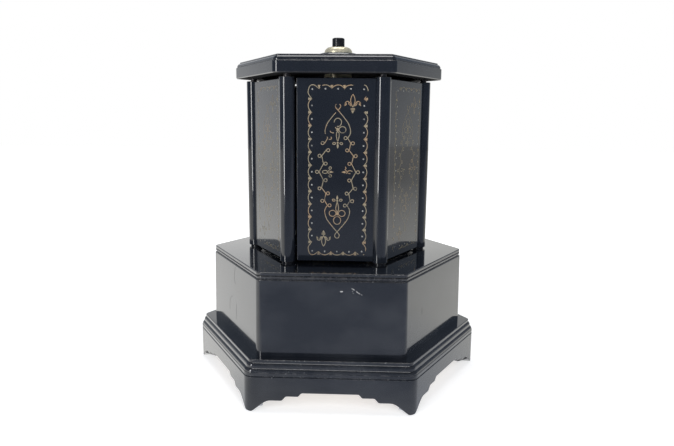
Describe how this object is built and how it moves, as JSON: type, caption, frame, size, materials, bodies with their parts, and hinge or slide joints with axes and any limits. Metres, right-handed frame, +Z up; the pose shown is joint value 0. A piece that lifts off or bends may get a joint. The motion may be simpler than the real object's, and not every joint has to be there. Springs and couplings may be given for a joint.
{
  "type": "musical cigarette dispenser",
  "caption": "Six-sided black lacquer cabinet on a moulded plinth; a push button swings its doors out together to offer cigarettes while a music movement in the base plays.",
  "frame": {"origin": "on the table, under the centre of the hexagon", "axes": "+Z up through the push button, -Y out through the front door, +X through a corner"},
  "size_m": [0.191, 0.1674, 0.22],
  "materials": {
    "black_lacquer": "gloss lacquer",
    "bare_wood": "bare",
    "brass": "aged",
    "steel": "satin",
    "black_button": "gloss"
  },
  "bodies": {
    "cabinet": {"plinth": "black_lacquer", "bottom_panel": "bare_wood", "bottom_screws": "brass", "base_box": "black_lacquer", "deck": "black_lacquer", "tube_flange": "brass", "flange_screws": "steel", "centre_tube": "brass", "lid_collar": "brass", "lid": "black_lacquer", "lid_boss": "black_lacquer", "bezel_nut": "brass", "rod_guides": "brass", "retaining_collar": "steel", "door_washers": "black_button", "movement_frame": "brass", "movement_screws": "steel", "comb": "steel", "comb_screws": "brass", "return_spring": "steel"},
    "button": {"button_cap": "black_button", "push_rod": "steel", "cross_pin": "steel"},
    "drive": {"drive_gear": "brass", "stop_pin": "steel"},
    "barrel": {"spring_barrel": "brass", "mainspring": "steel"},
    "winding_key": {"winding_key": "brass"},
    "cylinder": {"music_cylinder": "brass"},
    "governor": {"governor_fan": "steel"},
    "front_door": {"front_door_panel": "black_lacquer", "front_door_post": "black_lacquer", "front_pivot_pin": "steel", "front_rack": "brass", "front_pinion": "brass"},
    "front_right_door": {"front_right_door_panel": "black_lacquer", "front_right_door_post": "black_lacquer", "front_right_pivot_pin": "steel", "front_right_rack": "brass", "front_right_pinion": "brass"},
    "back_right_door": {"back_right_door_panel": "black_lacquer", "back_right_door_post": "black_lacquer", "back_right_pivot_pin": "steel", "back_right_rack": "brass", "back_right_pinion": "brass"},
    "back_door": {"back_door_panel": "black_lacquer", "back_door_post": "black_lacquer", "back_pivot_pin": "steel", "back_rack": "brass", "back_pinion": "brass"},
    "back_left_door": {"back_left_door_panel": "black_lacquer", "back_left_door_post": "black_lacquer", "back_left_pivot_pin": "steel", "back_left_rack": "brass", "back_left_pinion": "brass"},
    "front_left_door": {"front_left_door_panel": "black_lacquer", "front_left_door_post": "black_lacquer", "front_left_pivot_pin": "steel", "front_left_rack": "brass", "front_left_pinion": "brass"}
  },
  "joints": [
    {"name": "drive_gear_turn", "type": "hinge", "parent": "cabinet", "child": "drive", "pos_m": [0, 0, 0.068], "axis": [0, 0, -1], "range_deg": [0, 33.33]},
    {"name": "front_door_swing", "type": "hinge", "parent": "cabinet", "child": "front_door", "pos_m": [0.028, -0.0485, 0.137], "axis": [0, 0, 1], "range_deg": [0, 100]},
    {"name": "front_right_door_swing", "type": "hinge", "parent": "cabinet", "child": "front_right_door", "pos_m": [0.056, 0, 0.137], "axis": [0, 0, 1], "range_deg": [0, 100]},
    {"name": "back_right_door_swing", "type": "hinge", "parent": "cabinet", "child": "back_right_door", "pos_m": [0.028, 0.0485, 0.137], "axis": [0, 0, 1], "range_deg": [0, 100]},
    {"name": "back_door_swing", "type": "hinge", "parent": "cabinet", "child": "back_door", "pos_m": [-0.028, 0.0485, 0.137], "axis": [0, 0, 1], "range_deg": [0, 100]},
    {"name": "back_left_door_swing", "type": "hinge", "parent": "cabinet", "child": "back_left_door", "pos_m": [-0.056, 0, 0.137], "axis": [0, 0, 1], "range_deg": [0, 100]},
    {"name": "front_left_door_swing", "type": "hinge", "parent": "cabinet", "child": "front_left_door", "pos_m": [-0.028, -0.0485, 0.137], "axis": [0, 0, 1], "range_deg": [0, 100]},
    {"name": "button_press", "type": "slide", "parent": "cabinet", "child": "button", "axis": [0, 0, -1], "range_m": [0, 0.005], "stiffness_N_per_m": 300, "springref_m": -0.006, "deforming": ["return_spring"]},
    {"name": "barrel_turn", "type": "hinge", "parent": "cabinet", "child": "barrel", "pos_m": [-0.02593, 0.024, 0.033], "axis": [0, 0, 1], "continuous": true},
    {"name": "cylinder_turn", "type": "hinge", "parent": "cabinet", "child": "cylinder", "pos_m": [0, 0.024, 0.0447], "axis": [1, 0, 0], "continuous": true},
    {"name": "governor_turn", "type": "hinge", "parent": "cabinet", "child": "governor", "pos_m": [0.036, 0.0096, 0.0447], "axis": [1, 0, 0], "continuous": true},
    {"name": "key_turn", "type": "hinge", "parent": "cabinet", "child": "winding_key", "pos_m": [-0.02593, 0.024, 0.012], "axis": [0, 0, 1], "continuous": true}
  ],
  "couplings": [
    {"joint": "front_door_swing", "follows": "drive_gear_turn", "ratio": 3},
    {"joint": "front_right_door_swing", "follows": "drive_gear_turn", "ratio": 3},
    {"joint": "back_right_door_swing", "follows": "drive_gear_turn", "ratio": 3},
    {"joint": "back_door_swing", "follows": "drive_gear_turn", "ratio": 3},
    {"joint": "back_left_door_swing", "follows": "drive_gear_turn", "ratio": 3},
    {"joint": "front_left_door_swing", "follows": "drive_gear_turn", "ratio": 3},
    {"joint": "button_press", "follows": "drive_gear_turn", "m_per_rad": 0.0085942},
    {"joint": "cylinder_turn", "follows": "barrel_turn", "ratio": 3},
    {"joint": "governor_turn", "follows": "barrel_turn", "ratio": -9}
  ]
}
